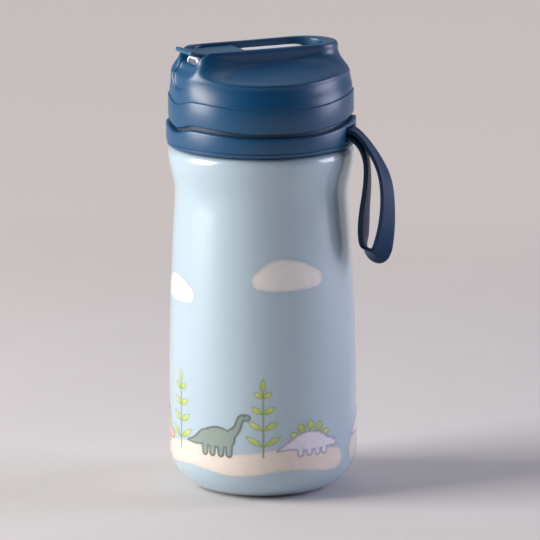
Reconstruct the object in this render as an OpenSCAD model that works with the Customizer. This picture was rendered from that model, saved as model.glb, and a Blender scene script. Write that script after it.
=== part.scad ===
// Kids' double-wall water bottle with a screw lid, a flip-up straw spout and a carry strap.
// Millimetres, +Z up. The origin is the centre of the base, and the thumb tab points to -X.

/* [Bottle] */
// Largest radius of the outer shell
body_r = 36.7; // [36.4:0.1:37.2]
// Radius of the narrow waist below the lid
waist_r = 33.9; // [33.6:0.1:34.4]
// Height of the waist
waist_z = 114.5; // [110:0.5:116]
// Top of the shell's shoulder
shoulder_z = 135.4; // [135:0.1:135.7]
// Radius of the rounded corner at the base
corner_r = 15.5; // [12:0.5:16]
// Thickness of each steel wall
steel_t = 0.8; // [0.6:0.05:0.9]
// Radius of the flask inside, measured on its outside
liner_r = 31.8; // [30:0.1:32.4]
// Outside radius of the neck
neck_r = 27; // [26.8:0.1:27.2]

/* [Lid] */
// Outside radius of the collar
collar_r = 36.9; // [36.7:0.1:37.3]
// Outside radius of the band
band_r = 36; // [35.7:0.1:36.4]
// Radius of the dome where it meets the band
dome_r = 35.5; // [35.2:0.1:35.8]
// Height of the ridge round the spout's slot
ridge_z = 174.3; // [173.8:0.1:174.8]
// Half of the ridge's width, outside
ridge_w = 12.3; // [12.1:0.1:13]
// Half of the ridge's length, outside
ridge_l = 31.8; // [31.4:0.1:32]
// Half of the slot's width
slot_w = 9.75; // [9.6:0.05:9.9]
// Size of the wave in the lid's edges, as a share of its usual height
wave_h = 1; // [0.5:0.1:1.1]
// Rise of the screw thread in one turn
thread_lead = 6; // [5.5:0.5:6]

/* [Spout and lever] */
// Width of the silicone spout
spout_w = 12.5; // [11:0.1:13]
// Height of the silicone spout
spout_t = 8; // [7:0.1:8]
// Radius of the hole through the spout
spout_bore_r = 2.5; // [2.4:0.1:3]
// Thickness of the lever's plate
plate_t = 1.1; // [1:0.1:1.4]
// Radius of the two hinge pins
pin_r = 1.25; // [1:0.05:1.5]

/* [Strap] */
// Width of the ribbon
strap_w = 9.6; // [8:0.1:9.8]
// Thickness of the ribbon
strap_t = 2; // [1.6:0.1:2.2]
// Direction that the strap leaves the lid in, in degrees
strap_angle = -44; // [-50:1:-40]

/* [Hidden] */

$fn = 96;
eps = 0.01;
lid_blue = [0.07, 0.24, 0.40];
strap_blue = [0.10, 0.20, 0.38];
steel_grey = [0.72, 0.73, 0.74];
silicone_white = [0.86, 0.86, 0.88];

// Shell
taper_z = 40;
taper_power = 1.75;
shoulder_r = 36.2;
shoulder_round = 3;
flare_z = waist_z + 2.5;
plate_edge_r = 19;

// Flask and neck
liner_z = 7;
liner_corner_r = 8;
liner_top_z = 122;
neck_z = 134;
neck_top_z = 148.6;
neck_t = 0.9;

// Thread: both ridges follow one helix, half a lead apart
ridge_h = 1.1;
ridge_root = 1.1;
ridge_crest = 0.6;
nut_r = neck_r + 1.6;
male_z = 139;
female_z = male_z + thread_lead / 2;

// Lid
core_z = 137.2;
core_top_z = 152.6;
core_t = 2;
core_r = 34.4;
ring_r = core_r + 0.05;
collar_z = 136;
lip_h = 1.6;
groove_z = 144.2;
groove_h = 1.6;
seam_z = 154.2;
dome_wall = 2.6;
dome_drop = 2;
spigot_r = 34.3;
slot_floor_z = 162;
slot_front_x = -29.2;
slot_back_x = 26;
notch_z = 168.9;
notch_w = 8.1;
nose_room = 6.5;

// Spout and lever
spout_z = 168.95;
spout_tip_x = -28.8;
nose_x = -7.6;
nose_w = 11.6;
nose_t = 6.6;
nose_drop = 0.4;
bend_x = 10.5;
bend_r = 7.5;
root_x = bend_x + bend_r;
pivot_x = 15.5;
pivot_z = 166.4;
plate_z = 172.2;
plate_w = 9;
plate_rear_x = -8.3;
tab_w = 7.8;
tab_tip_x = -33;
tab_corner_r = 1.8;
arm_in = 7;
arm_out = 8.6;

// Strap
anchor_d = 35;
anchor_z = 141.5;
anchor_r = 0.9;
eye_r = 2;
slot_h = 5.6;
// Middle line of the loop from the eye down the outer strand and back up the inner one,
// as distance from the bottle's axis and height
loop_route = [
    [36.0, 142.3], [38.4, 141.6], [41.6, 138.6], [45.2, 134.0], [48.6, 128.0], [50.8, 120.5],
    [51.9, 112.0], [51.7, 102.5], [50.2, 95.0], [47.2, 90.8], [44.4, 93.8], [42.9, 99.5],
    [42.4, 106.0], [42.7, 114.0], [43.2, 122.0], [42.8, 130.0], [41.2, 135.6], [39.0, 138.9],
    [37.4, 140.1], [36.0, 140.6]
];

// ---- Functions ----

function ease(t) = (1 - cos(180 * min(1, max(0, t)))) / 2;
function reverse(list) = [for (i = [len(list) - 1:-1:0]) list[i]];
function arc(centre, r, from, to, steps) =
    [for (i = [0:steps]) let (a = from + (to - from) * i / steps) centre + r * [cos(a), sin(a)]];

// Radius of the shell on the long taper and on the flare above the waist
function taper_r(z) =
    body_r - (body_r - waist_r) * pow((z - taper_z) / (waist_z - taper_z), taper_power);
function flare_r(z) =
    waist_r + (shoulder_r - waist_r) * ease((z - flare_z) / (shoulder_z - shoulder_round - flare_z));

// The shell's outline, moved inwards by d
function shell_line(d) = concat(
    [[plate_edge_r, d]],
    arc([body_r - corner_r, corner_r], corner_r - d, -90, 0, 10),
    [for (i = [0:14]) let (z = taper_z + (waist_z - taper_z) * i / 14) [taper_r(z) - d, z]],
    [for (i = [0:8]) let (z = flare_z + (shoulder_z - shoulder_round - flare_z) * i / 8)
        [flare_r(z) - d, z]],
    arc([shoulder_r - shoulder_round, shoulder_z - shoulder_round], shoulder_round - d, 10, 90, 6),
    [[neck_r, shoulder_z - d]]
);

// The flask's outline, moved inwards by d
function liner_line(d) = concat(
    [[0, liner_z + d]],
    arc([liner_r - liner_corner_r, liner_z + liner_corner_r], liner_corner_r - d, -90, 0, 6),
    [for (i = [0:10]) let (z = liner_top_z + (neck_z - liner_top_z) * i / 10)
        [liner_r - (liner_r - neck_r) * ease(i / 10) - d, z]],
    [[neck_r - d, neck_top_z]]
);

// Angle from the nearer of the lid's front and back, from 0 to 90 degrees
function fold(a) = let (b = (a % 180 + 180) % 180) min(b, 180 - b);
// Wave of the lid's edges: a dip at the front and back between two crests, higher at the back.
// Each crest is its place, where it has died out, and its height.
front_crest = [20, 66, 1.6];
back_crest = [26, 90, 2.9];
dip_h = 0.5;
function wave(a) = let (f = fold(a), c = cos(a) > 0 ? back_crest : front_crest) wave_h * (f < c[0]
    ? -dip_h + (c[2] + dip_h) * ease(f / c[0])
    : c[2] * (1 - ease((f - c[0]) / (c[1] - c[0]))));

// Distance from the axis to a long oval's edge, in direction a
function oval_reach(a, half_l, half_w) =
    let (c = half_l - half_w, s = abs(sin(a)), k = abs(cos(a)))
    c * s >= half_w * k ? half_w / s : c * k + sqrt(max(0, half_w * half_w - c * c * s * s));

// The ridge's outline: a long oval with a blunter, squarer front
function ridge_reach(a) = cos(a) > 0 ? oval_reach(a, ridge_l, ridge_w)
    : pow(pow(abs(cos(a)) / ridge_l, 5) + pow(abs(sin(a)) / ridge_w, 5), -1 / 5);

// How far the dome has drawn in from the round drum to the ridge at part t of its height.
// It draws in late at the front, early at the sides, and between the two at the back.
function front_share(a) = 1 - ease((abs(180 - abs(a)) - 16) / 24);
function back_share(a) = 1 - ease((abs(a) - 20) / 40);
function draw_mid(a) = 0.585 + 0.165 * front_share(a) + 0.015 * back_share(a);
function draw_span(a) = 0.24 + 0.36 * front_share(a) + 0.26 * back_share(a);
function draw(t, a) =
    0.12 * ease(t / 0.4) + 0.88 * ease((t - draw_mid(a)) / draw_span(a) + 0.5);
rim_start = 0.92;
rim_round = 1.3;
function rim_inset(t) = t < rim_start ? 0
    : rim_round * (1 - sqrt(1 - pow((t - rim_start) / (1 - rim_start), 2)));
function dome_radius(t, a) =
    dome_r + (ridge_reach(a) - dome_r) * draw(t, a) - rim_inset(t);

// A closed curve's direction, and a smooth line through the strap's route
function route_point(i) = loop_route[max(0, min(len(loop_route) - 1, i))];
function through(p, q, r, s, t) =
    0.5 * (2 * q + (r - p) * t + (2 * p - 5 * q + 4 * r - s) * t * t
        + (3 * q - p - 3 * r + s) * t * t * t);
route_steps = 4;
loop_line = [
    for (i = [0:len(loop_route) - 2]) for (j = [0:route_steps - 1])
        through(route_point(i - 1), route_point(i), route_point(i + 1), route_point(i + 2),
            j / route_steps),
    loop_route[len(loop_route) - 1]
];
function side_of(line, i, d) =
    let (q = line[min(len(line) - 1, i + 1)] - line[max(0, i - 1)])
    line[i] + d * [-q[1], q[0]] / norm(q);

// ---- Shared shapes ----

// A solid through a stack of rings with equal numbers of points
module loft(rings) {
    n = len(rings[0]);
    last = len(rings) - 1;
    polyhedron(
        points = [for (ring = rings) for (p = ring) p],
        faces = concat(
            [[for (i = [0:n - 1]) i]],
            [for (k = [0:last - 1]) for (i = [0:n - 1]) let (j = (i + 1) % n)
                [k * n + i, (k + 1) * n + i, (k + 1) * n + j, k * n + j]],
            [[for (i = [n - 1:-1:0]) last * n + i]]
        ),
        convexity = 6
    );
}

// A solid from sections placed round a circle: closed on itself, or with two ends
module sweep(sections, closed) {
    n = len(sections[0]);
    m = len(sections);
    ends = closed ? [] : [[for (i = [0:n - 1]) i], [for (i = [n - 1:-1:0]) (m - 1) * n + i]];
    polyhedron(
        points = [for (s = sections) for (p = s) p],
        faces = concat(ends,
            [for (k = [0:closed ? m - 1 : m - 2]) for (i = [0:n - 1])
                let (j = (i + 1) % n, l = (k + 1) % m)
                [k * n + i, l * n + i, l * n + j, k * n + j]]),
        convexity = 6
    );
}

function ring_point(r, a, z) = [r * cos(a), r * sin(a), z];

// A helical ridge on a wall of radius r; out is 1 on a neck and -1 in a nut
module thread_ridge(r, out, z, from, to) {
    steps = round((to - from) / 8);
    fade = 24;
    sweep([for (i = [0:steps]) let (
            a = from + (to - from) * i / steps,
            h = ridge_h * ease(min(a - from, to - a) / fade),
            root = r - out * 0.3,
            crest = r + out * max(0.02, h),
            zc = z + thread_lead * a / 360)
        [ring_point(root, a, zc - out * ridge_root), ring_point(root, a, zc + out * ridge_root),
            ring_point(crest, a, zc + out * ridge_crest),
            ring_point(crest, a, zc - out * ridge_crest)]], false);
}

// A long oval, in the plane
module oval(half_l, half_w) {
    square([2 * (half_l - half_w), 2 * half_w], center = true);
    for (s = [-1, 1]) translate([s * (half_l - half_w), 0]) circle(half_w);
}

// A long oval between two places on X
module oval_between(x0, x1, half_w) {
    translate([(x0 + x1) / 2, 0]) oval((x1 - x0) / 2, half_w);
}

// The spout's section: X across the tube's height, Y along its width
module spout_section(grow) {
    rotate(90) oval(spout_w / 2 + grow, spout_t / 2 + grow);
}

// Children are drawn at the strap's slot, with X pointing out of the lid and Z up
module at_strap() {
    rotate(strap_angle) children();
}

// ---- Bottle ----

module outer_shell() {
    color("lightblue") rotate_extrude() polygon(concat(shell_line(0), reverse(shell_line(steel_t))));
}

module inner_liner() {
    color(steel_grey) union() {
        rotate_extrude() polygon(concat(liner_line(0), reverse(liner_line(neck_t))));
        thread_ridge(neck_r, 1, male_z, 0, 400);
    }
}

module base_plate() {
    plug_r = 3.5;
    color(steel_grey) difference() {
        cylinder(r = plate_edge_r, h = steel_t);
        translate([0, 0, -eps]) cylinder(r = plug_r, h = steel_t / 2 + eps);
        translate([0, 0, -eps]) cylinder(r = 1, h = steel_t + 1);
    }
}

module vacuum_seal_plug() {
    color("silver") cylinder(r = 3.45, h = steel_t / 2);
}

module getter() {
    color("dimgray") translate([9, 0, steel_t]) cylinder(r = 4, h = 1.6);
}

// ---- Lid ----

module lid_gasket() {
    color("whitesmoke") rotate_extrude() polygon([
        [neck_r - 2.4, neck_top_z + 0.02], [neck_r + 1, neck_top_z + 0.02],
        [neck_r + 1, core_top_z - core_t - 0.02], [neck_r - 2.4, core_top_z - core_t - 0.02]]);
}

module lid_core() {
    color(lid_blue) difference() {
        union() {
            rotate_extrude() polygon([
                [0, core_top_z - core_t], [nut_r, core_top_z - core_t], [nut_r, core_z + 1],
                [nut_r + 1.8, core_z + 1], [nut_r + 1.8, core_top_z - core_t],
                [core_r - 1.4, core_top_z - core_t], [core_r - 1.4, core_z],
                [core_r, core_z], [core_r, core_top_z], [0, core_top_z]]);
            thread_ridge(nut_r, -1, female_z, -120, 300);
        }
        translate([root_x, 0, core_z]) cylinder(r = 5.05, h = 30);
        translate([-14, 0, core_z]) cylinder(r = 2, h = 30);
        at_strap() translate([core_r - 2, -5.6, anchor_z - slot_h / 2]) cube([4, 11.2, slot_h]);
    }
}

// Section of the collar at angle a: a small lip at the bottom and a wavy top
function collar_section(a) = let (top = groove_z - groove_h / 2 + wave(a), lip = collar_z + lip_h)
    [for (p = [
        [ring_r, collar_z + 0.6], [ring_r + 1.2, collar_z], [collar_r - 0.7, collar_z],
        [collar_r - 0.3, collar_z + 0.4], [collar_r - 0.3, lip - 0.1], [collar_r - 0.5, lip],
        [collar_r, lip + 0.3], [collar_r, top - 0.7], [collar_r - 0.7, top], [ring_r, top]
    ]) ring_point(p[0], a, p[1])];

module lid_collar() {
    color(lid_blue) difference() {
        sweep([for (i = [0:119]) collar_section(i * 3)], true);
        at_strap() {
            translate([core_r - 2, -5.2, anchor_z - slot_h / 2]) cube([8, 10.4, slot_h]);
            translate([anchor_d, 0, anchor_z]) rotate([90, 0, 0])
                cylinder(r = anchor_r, h = 12.4, center = true);
        }
    }
}

// Section of the band at angle a: wavy at both edges
function band_section(a) =
    let (low = groove_z + groove_h / 2 + wave(a), top = seam_z + wave(a))
    [for (p = [
        [ring_r, low], [band_r - 0.5, low], [band_r, low + 0.5], [band_r, top - 0.3],
        [band_r - 0.3, top], [ring_r, top]
    ]) ring_point(p[0], a, p[1])];

module lid_band() {
    color(lid_blue) sweep([for (i = [0:119]) band_section(i * 3)], true);
}

// One ring of the dome, moved in by inset and down by drop
function dome_ring(t, inset, drop, steps) =
    [for (i = [0:steps - 1]) let (a = i * 360 / steps - 180, low = seam_z + wave(a))
        ring_point(dome_radius(t, a) - inset, a, low + t * (ridge_z - low) - drop)];

dome_levels = [
    for (i = [0:16]) rim_start * i / 16,
    for (i = [1:4]) rim_start + (1 - rim_start) * sin(22.5 * i)
];

module dome_hollow() {
    loft(concat(
        [[for (i = [0:71]) ring_point(dome_r - dome_wall, i * 5 - 180, core_top_z - 1)]],
        [for (i = [0:5]) dome_ring(0.62 * i / 5, dome_wall, dome_drop, 72)]
    ));
}

// The slot's walls and floor, which hang from the ridge inside the dome
module slot_walls() {
    translate([0, 0, slot_floor_z - 2]) linear_extrude(8) oval(ridge_l - 0.4, ridge_w - 0.3);
}

module scoop() {
    scoop_w = 7.2;
    translate([-33.9, 0, 161]) rotate([0, 8.8, 0]) rotate([0, -90, 0]) linear_extrude(6) {
        translate([4.9, 0]) circle(scoop_w);
        translate([4.9, -scoop_w]) square([12, 2 * scoop_w]);
    }
}

module lid_dome() {
    color(lid_blue) difference() {
        union() {
            difference() {
                loft([for (t = dome_levels) dome_ring(t, 0, 0, 120)]);
                dome_hollow();
            }
            slot_walls();
            rotate_extrude() translate([spigot_r - 2.2, core_top_z]) square([2.2, 5.6]);
        }
        translate([0, 0, slot_floor_z]) linear_extrude(20) {
            oval_between(slot_front_x, slot_back_x, slot_w);
            translate([slot_front_x, -nose_room]) square([12, 2 * nose_room]);
        }
        translate([-40, -notch_w, notch_z]) cube([20, 2 * notch_w, 10]);
        translate([root_x, 0, slot_floor_z - 3]) linear_extrude(4) spout_section(0.6);
        translate([bend_x - 2, -spout_w / 2 - 0.6, slot_floor_z - 3])
            cube([root_x - bend_x + 2, spout_w + 1.2, 4]);
        translate([pivot_x, 0, pivot_z]) rotate([90, 0, 0])
            cylinder(r = pin_r, h = 2 * (ridge_w - 0.3), center = true);
        scoop();
    }
}

module hinge_pins() {
    for (s = [-1, 1]) color("silver") translate([pivot_x, s * (arm_in + ridge_w - 0.3) / 2, pivot_z])
        rotate([90, 0, 0]) cylinder(r = pin_r, h = ridge_w - 0.3 - arm_in, center = true);
}

module spout_neck() {
    foot_r = 8;
    foot_h = 1.6;
    color(silicone_white) difference() {
        union() {
            translate([bend_x, 0, spout_z - bend_r]) rotate([90, 0, 0])
                rotate_extrude(angle = 90) translate([bend_r, 0]) spout_section(0);
            translate([root_x, 0, core_top_z]) linear_extrude(spout_z - bend_r - core_top_z)
                spout_section(0);
            translate([root_x, 0, core_top_z]) cylinder(r = foot_r, h = foot_h);
        }
        translate([bend_x, 0, spout_z - bend_r]) rotate([90, 0, 0])
            rotate_extrude(angle = 90) translate([bend_r, 0]) circle(spout_bore_r);
        translate([root_x, 0, core_top_z - 1])
            cylinder(r = spout_bore_r, h = spout_z - bend_r - core_top_z + 1);
    }
}

module spout_retainer() {
    color(lid_blue) translate([root_x, 0, core_top_z + 1.6]) linear_extrude(2.2) difference() {
        circle(9.5);
        spout_section(0.2);
    }
}

module straw_adapter() {
    color(silicone_white) translate([root_x, 0, core_top_z]) difference() {
        union() {
            translate([0, 0, -13]) cylinder(r = 5, h = 13);
            cylinder(r = spout_bore_r - 0.05, h = 5);
        }
        translate([0, 0, -14]) cylinder(r = 3.05, h = 12);
        translate([0, 0, -14]) cylinder(r = 1.7, h = 20);
    }
}

module straw() {
    straw_low_z = liner_z + 3;
    color("white") difference() {
        translate([root_x, 0, straw_low_z]) cylinder(r = 3, h = core_top_z - 3 - straw_low_z);
        translate([root_x, 0, straw_low_z - 1]) cylinder(r = 2.4, h = core_top_z - straw_low_z);
        translate([root_x, 0, straw_low_z]) rotate([0, 35, 0]) translate([0, 0, -5])
            cube([16, 16, 10], center = true);
    }
}

module vent_valve() {
    color(silicone_white) translate([-14, 0, 0]) {
        translate([0, 0, core_top_z]) cylinder(r = 3.5, h = 1.2);
        translate([0, 0, core_top_z - 4]) cylinder(r = 1.95, h = 4);
    }
}

module strap_anchor_pin() {
    color("silver") at_strap() translate([anchor_d, 0, anchor_z]) rotate([90, 0, 0])
        cylinder(r = anchor_r, h = 12.4, center = true);
}

// ---- Lever and spout ----

// Height that the tab has above the plate at part u of the way to its tip
function tab_lift(u) = 0.9 * u * u - 0.4 * sin(180 * u);
tab_start_x = -20;
tab_extra_t = 0.5;
tab_line = [for (i = [0:10]) let (u = i / 10)
    [tab_start_x + u * (tab_tip_x - tab_start_x), plate_z + tab_lift(u)]];
plate_low = concat([[plate_rear_x, plate_z]], tab_line);
plate_high = concat([[plate_rear_x, plate_z + plate_t]],
    [for (i = [0:10]) tab_line[i] + [0, plate_t + tab_extra_t * i / 10]]);

module lever_plate() {
    intersection() {
        rotate([90, 0, 0]) linear_extrude(2 * plate_w + 2, center = true)
            polygon(concat(plate_low, reverse(plate_high)));
        translate([0, 0, plate_z - 5]) linear_extrude(15) {
            translate([-17.5, -plate_w]) square([plate_rear_x + 17.5, 2 * plate_w]);
            translate([-17.5, 0]) circle(plate_w);
            translate([tab_tip_x + tab_corner_r, -tab_w]) square([10, 2 * tab_w]);
            translate([tab_tip_x, tab_corner_r - tab_w]) square([8, 2 * (tab_w - tab_corner_r)]);
            for (s = [-1, 1]) translate([tab_tip_x + tab_corner_r, s * (tab_w - tab_corner_r)])
                circle(tab_corner_r);
        }
    }
}

module lever_arm() {
    linear_extrude(arm_out - arm_in) {
        polygon([
            [-22, plate_z + 0.3], [plate_rear_x - 0.5, plate_z + 0.3], [-3, 169.2],
            [pivot_x, pivot_z + 3.2], [pivot_x, pivot_z - 3.2], [-10, 163], [-18, 163], [-22, 167]
        ]);
        translate([pivot_x, pivot_z]) circle(3.2);
    }
}

module flip_lever() {
    color(lid_blue) difference() {
        union() {
            lever_plate();
            for (y = [-arm_in, arm_out]) translate([0, y, 0]) rotate([90, 0, 0]) lever_arm();
            translate([-18, -arm_out, 163]) cube([6, 2 * arm_out, 1]);
        }
        translate([pivot_x, 0, pivot_z]) rotate([90, 0, 0])
            cylinder(r = pin_r + 0.05, h = 30, center = true);
    }
}

module spout_tube() {
    // The nose is a little slimmer, to clear the lever's plate above it
    color(silicone_white) rotate([0, 90, 0]) difference() {
        union() {
            translate([-spout_z, 0, nose_x]) linear_extrude(bend_x - nose_x) spout_section(0);
            translate([nose_drop - spout_z, 0, spout_tip_x]) linear_extrude(nose_x - spout_tip_x)
                rotate(90) oval(nose_w / 2, nose_t / 2);
        }
        translate([-spout_z, 0, spout_tip_x - 1])
            cylinder(r = spout_bore_r, h = bend_x - spout_tip_x + 2);
    }
}

// ---- Strap ----

// The ribbon between two places along the loop, as a flat outline
module ribbon(from, to) {
    polygon(concat(
        [for (i = [from:to]) side_of(loop_line, i, strap_t / 2)],
        [for (i = [to:-1:from]) side_of(loop_line, i, -strap_t / 2)]));
}

module carry_strap() {
    fold_at = 9 * route_steps;
    color(strap_blue) at_strap() rotate([90, 0, 0]) difference() {
        linear_extrude(strap_w, center = true) {
            ribbon(0, fold_at);
            ribbon(fold_at - 1, len(loop_line) - 1);
            translate([anchor_d, anchor_z]) circle(eye_r);
        }
        translate([anchor_d, anchor_z, -15]) cylinder(r = anchor_r + 0.05, h = 30);
    }
}

outer_shell();
inner_liner();
base_plate();
vacuum_seal_plug();
getter();
lid_gasket();
lid_core();
lid_collar();
lid_band();
lid_dome();
hinge_pins();
spout_neck();
spout_retainer();
straw_adapter();
straw();
vent_valve();
strap_anchor_pin();
flip_lever();
spout_tube();
carry_strap();
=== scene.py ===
import math
from contextlib import contextmanager

import bmesh
import bpy
import numpy as np
from mathutils import Matrix, Vector


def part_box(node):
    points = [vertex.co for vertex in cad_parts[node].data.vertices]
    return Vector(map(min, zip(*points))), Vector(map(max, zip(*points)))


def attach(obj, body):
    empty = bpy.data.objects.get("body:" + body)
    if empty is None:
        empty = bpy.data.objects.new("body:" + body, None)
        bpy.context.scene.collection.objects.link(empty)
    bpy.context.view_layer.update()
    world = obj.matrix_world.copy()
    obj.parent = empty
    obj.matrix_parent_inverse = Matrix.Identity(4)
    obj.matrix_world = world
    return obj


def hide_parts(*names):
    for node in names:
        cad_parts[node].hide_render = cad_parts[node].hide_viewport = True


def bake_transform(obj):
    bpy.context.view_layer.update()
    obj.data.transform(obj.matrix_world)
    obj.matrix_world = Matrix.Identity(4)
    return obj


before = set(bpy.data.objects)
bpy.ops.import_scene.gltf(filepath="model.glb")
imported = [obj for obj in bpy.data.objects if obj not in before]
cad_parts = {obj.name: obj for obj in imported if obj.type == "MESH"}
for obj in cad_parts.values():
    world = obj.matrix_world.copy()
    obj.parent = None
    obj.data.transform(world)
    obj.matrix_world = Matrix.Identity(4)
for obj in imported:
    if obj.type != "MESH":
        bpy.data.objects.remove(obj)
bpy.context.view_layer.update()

# Millimetres, degrees and the bottle's own frame: +Z up, the thumb tab towards -X
MM = 0.001


def box_mm(node):
    """A CAD node's lowest and highest corners, in millimetres."""
    low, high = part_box(node)
    return [v / MM for v in low], [v / MM for v in high]


# ---- Driving sizes, read from the frame where the frame has them ----

BODY_R = box_mm("outer_shell")[1][0]
SHOULDER_Z = box_mm("outer_shell")[1][2]
COLLAR_R = box_mm("lid_collar")[1][0]
COLLAR_Z = box_mm("lid_collar")[0][2]
BAND_R = box_mm("lid_band")[1][0]
DOME_R = box_mm("lid_dome")[1][1]
RIDGE_Z = box_mm("lid_dome")[1][2]
CORE_TOP_Z = box_mm("lid_core")[1][2]

# Shell
CORNER_R = 15.5
WAIST_R, WAIST_Z = 33.9, 114.5
TAPER_Z, TAPER_POWER = 40.0, 1.75
FLARE_Z = WAIST_Z + 2.5
SHOULDER_R, SHOULDER_ROUND = 36.2, 3.0
PLATE_EDGE_R = 19.0
NECK_R = 27.0

# Lid
RING_R = 34.45
LIP_H = 1.6
GROOVE_Z, GROOVE_H = 144.2, 1.6
SEAM_Z = 154.2
FRONT_CREST, BACK_CREST, DIP_H = (20.0, 66.0, 1.6), (26.0, 90.0, 2.9), 0.5
RIDGE_L, RIDGE_W = 31.8, 12.3
SLOT_FLOOR_Z, SLOT_W = 162.0, 9.75
SLOT_FRONT_X, SLOT_BACK_X = -29.2, 26.0
NOTCH_Z = 168.9

# Spout and lever
SPOUT_Z, SPOUT_W, SPOUT_T, SPOUT_BORE_R = 168.95, 12.5, 8.0, 2.5
SPOUT_TIP_X = box_mm("spout_tube")[0][0]
NOSE_X, NOSE_W, NOSE_T, NOSE_DROP = -7.6, 11.6, 6.6, 0.4
NOSE_ROOM = 6.5
BEND_X, BEND_R = 10.5, 7.5
PIVOT_X, PIVOT_Z = 15.5, 166.4
PLATE_Z, PLATE_T, PLATE_W, PLATE_REAR_X = 172.2, 1.1, 9.0, -8.3
TAB_START_X, TAB_TIP_X, TAB_W, TAB_EXTRA_T, TAB_CORNER_R = -20.0, -33.0, 7.8, 0.8, 1.8
ARM_IN, ARM_OUT = 7.0, 8.6

# Strap
STRAP_ANGLE = math.radians(-44)
STRAP_W, STRAP_T = 9.6, 1.7
STRAP_SLOT_R, STRAP_SLOT_Z = 36.5, 141.5
STRAP_SLOT = (6.0, 10.4, 5.6)

# The camera looks from this side of the bottle
VIEW_AZIMUTH, VIEW_ELEVATION = -24.4, 12.0


# ---- Small helpers ----

def ease(t):
    return (1 - np.cos(np.pi * np.clip(t, 0, 1))) / 2


def arc(centre, r, start, end, steps):
    angles = np.radians(np.linspace(start, end, steps + 1))
    return [(centre[0] + r * math.cos(a), centre[1] + r * math.sin(a)) for a in angles]


def new_object(name, mesh):
    obj = bpy.data.objects.new(name, mesh)
    bpy.context.scene.collection.objects.link(obj)
    return obj


def smooth_shade(mesh):
    mesh.polygons.foreach_set("use_smooth", [True] * len(mesh.polygons))


@contextmanager
def editing(mesh):
    """The mesh opened as a BMesh, and written back afterwards."""
    bm = bmesh.new()
    bm.from_mesh(mesh)
    yield bm
    bm.to_mesh(mesh)
    bm.free()


def mesh_object(name, points, faces):
    """A smooth-shaded object from points in millimetres."""
    mesh = bpy.data.meshes.new(name)
    mesh.from_pydata([tuple(c * MM for c in p) for p in points], [], faces)
    mesh.validate()
    with editing(mesh) as bm:
        bmesh.ops.recalc_face_normals(bm, faces=bm.faces)
    smooth_shade(mesh)
    return new_object(name, mesh)


def loft(name, rings, caps=True):
    """A skin through rings with equal numbers of points, with or without its two ends."""
    n = len(rings[0])
    faces = []
    for k in range(0, (len(rings) - 1) * n, n):
        faces += [(k + i, k + (i + 1) % n, k + n + (i + 1) % n, k + n + i) for i in range(n)]
    if caps:
        faces.append(tuple(range(n - 1, -1, -1)))
        faces.append(tuple((len(rings) - 1) * n + i for i in range(n)))
    return mesh_object(name, [p for ring in rings for p in ring], faces)


def revolve(name, section, segments):
    """A ring whose closed section of (radius, height) points is a function of the angle."""
    points, faces = [], []
    for k in range(segments):
        degrees = 360.0 * k / segments
        a = math.radians(degrees)
        points += [(r * math.cos(a), r * math.sin(a), z) for r, z in section(degrees)]
    n = len(points) // segments
    for k in range(segments):
        m = (k + 1) % segments
        for i in range(n):
            j = (i + 1) % n
            faces.append((k * n + i, m * n + i, m * n + j, k * n + j))
    return mesh_object(name, points, faces)


def sharpen(obj, degrees):
    """Keeps edges crisp where faces meet at more than this angle."""
    smooth_shade(obj.data)
    with editing(obj.data) as bm:
        for edge in bm.edges:
            if len(edge.link_faces) == 2:
                edge.smooth = edge.calc_face_angle(0) < math.radians(degrees)


def weld(obj):
    """Merges points that lie on each other."""
    with editing(obj.data) as bm:
        bmesh.ops.remove_doubles(bm, verts=bm.verts, dist=1e-7)
        bmesh.ops.recalc_face_normals(bm, faces=bm.faces)


# ---- Materials ----

# Depth of a moulded or brushed surface's grain, in metres
FINE_GRAIN = 0.00002


def material(name):
    """A new node material, its node tree and its Principled shader."""
    mat = bpy.data.materials.new(name)
    mat.use_nodes = True
    return mat, mat.node_tree, mat.node_tree.nodes["Principled BSDF"]


def add(tree, kind, **values):
    """A new node with these properties and input values."""
    node = tree.nodes.new(kind)
    for key, value in values.items():
        if key in node.inputs:
            node.inputs[key].default_value = value
        else:
            setattr(node, key, value)
    return node


def object_coords(tree):
    return tree.nodes.new("ShaderNodeTexCoord").outputs["Object"]


def noise(tree, scale, detail=2.0, roughness=0.5, vector=None):
    node = add(tree, "ShaderNodeTexNoise", Scale=scale, Detail=detail, Roughness=roughness)
    tree.links.new(vector or object_coords(tree), node.inputs["Vector"])
    return node.outputs["Fac"]


def ramp(tree, value, low, high, start=0.0, end=1.0):
    """Maps a value between start and end to numbers between low and high."""
    node = add(tree, "ShaderNodeMapRange",
               **{"From Min": start, "From Max": end, "To Min": low, "To Max": high})
    tree.links.new(value, node.inputs["Value"])
    return node.outputs["Result"]


def blend_colours(tree, factor, a, b):
    """Mixes two colours, each a tuple or a socket."""
    node = tree.nodes.new("ShaderNodeMix")
    node.data_type = "RGBA"
    tree.links.new(factor, node.inputs["Factor"])
    for value, socket in ((a, node.inputs[6]), (b, node.inputs[7])):
        if isinstance(value, tuple):
            socket.default_value = (*value, 1)
        else:
            tree.links.new(value, socket)
    return node.outputs[2]


def tint(tree, shader, pattern, a, b, start=0.3, end=0.7):
    """Drifts the base colour from a to b as a pattern runs from start to end."""
    factor = ramp(tree, pattern, 0, 1, start, end)
    tree.links.new(blend_colours(tree, factor, a, b), shader.inputs["Base Color"])


def vary_roughness(tree, shader, pattern, low, high):
    tree.links.new(ramp(tree, pattern, low, high, 0.3, 0.7), shader.inputs["Roughness"])


def bump(tree, shader, height, strength, distance=FINE_GRAIN):
    """Fine relief, its depth in metres."""
    node = add(tree, "ShaderNodeBump", Strength=strength, Distance=distance)
    tree.links.new(height, node.inputs["Height"])
    tree.links.new(node.outputs["Normal"], shader.inputs["Normal"])


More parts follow.
